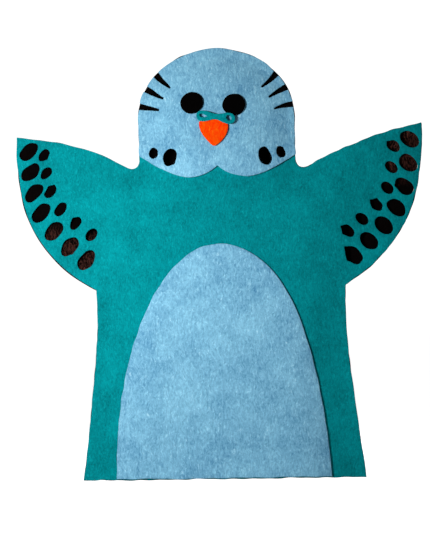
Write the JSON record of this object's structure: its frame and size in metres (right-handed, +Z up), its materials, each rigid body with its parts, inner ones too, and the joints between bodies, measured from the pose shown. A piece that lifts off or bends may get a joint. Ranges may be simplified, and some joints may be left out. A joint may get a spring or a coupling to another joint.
{
  "type": "hand puppet",
  "caption": "Flat felt glove puppet of a small parrot: two glued panels form a pocket for the hand, with a head that nods and wings that flap.",
  "frame": {"origin": "middle of the hand opening at the open hem, halfway between the front and the back panel", "axes": "+Z up from the hem through the head, -Y out of the front, +X to the viewer's right when facing the front"},
  "size_m": [0.2308, 0.0165, 0.2432],
  "materials": {
    "teal_felt": "matte craft felt",
    "light_blue_felt": "matte craft felt",
    "black_felt": "matte craft felt",
    "orange_felt": "matte craft felt",
    "glue": "dried craft glue, translucent satin"
  },
  "bodies": {
    "torso": {"front_torso": "teal_felt", "back_torso": "black_felt", "belly_panel": "light_blue_felt", "left_side_glue": "glue", "right_side_glue": "glue", "front_neck_bend": "teal_felt", "back_neck_bend": "black_felt", "left_front_wing_bend": "teal_felt", "left_back_wing_bend": "black_felt", "right_front_wing_bend": "teal_felt", "right_back_wing_bend": "black_felt"},
    "head": {"head_panel": "light_blue_felt", "back_head": "black_felt", "left_eye": "black_felt", "right_eye": "black_felt", "cere": "teal_felt", "beak": "orange_felt", "crown_glue": "glue", "left_cheek_glue": "glue", "right_cheek_glue": "glue"},
    "left_wing": {"left_front_wing": "teal_felt", "left_back_wing": "black_felt", "left_wing_glue": "glue"},
    "right_wing": {"right_front_wing": "teal_felt", "right_back_wing": "black_felt", "right_wing_glue": "glue"}
  },
  "joints": [
    {"name": "head_nod", "type": "hinge", "parent": "torso", "child": "head", "pos_m": [0, 0, 0.1735], "axis": [1, 0, 0], "range_deg": [-30, 45], "stiffness_Nm_per_rad": 0.02, "deforming": ["front_neck_bend", "back_neck_bend"]},
    {"name": "left_wing_flap", "type": "hinge", "parent": "torso", "child": "left_wing", "pos_m": [-0.0589, 0, 0.1419], "axis": [0.3213, 0, 0.947], "range_deg": [-40, 70], "stiffness_Nm_per_rad": 0.01, "deforming": ["left_front_wing_bend", "left_back_wing_bend"]},
    {"name": "right_wing_flap", "type": "hinge", "parent": "torso", "child": "right_wing", "pos_m": [0.0589, 0, 0.1419], "axis": [0.3213, 0, -0.947], "range_deg": [-40, 70], "stiffness_Nm_per_rad": 0.01, "deforming": ["right_front_wing_bend", "right_back_wing_bend"]}
  ]
}
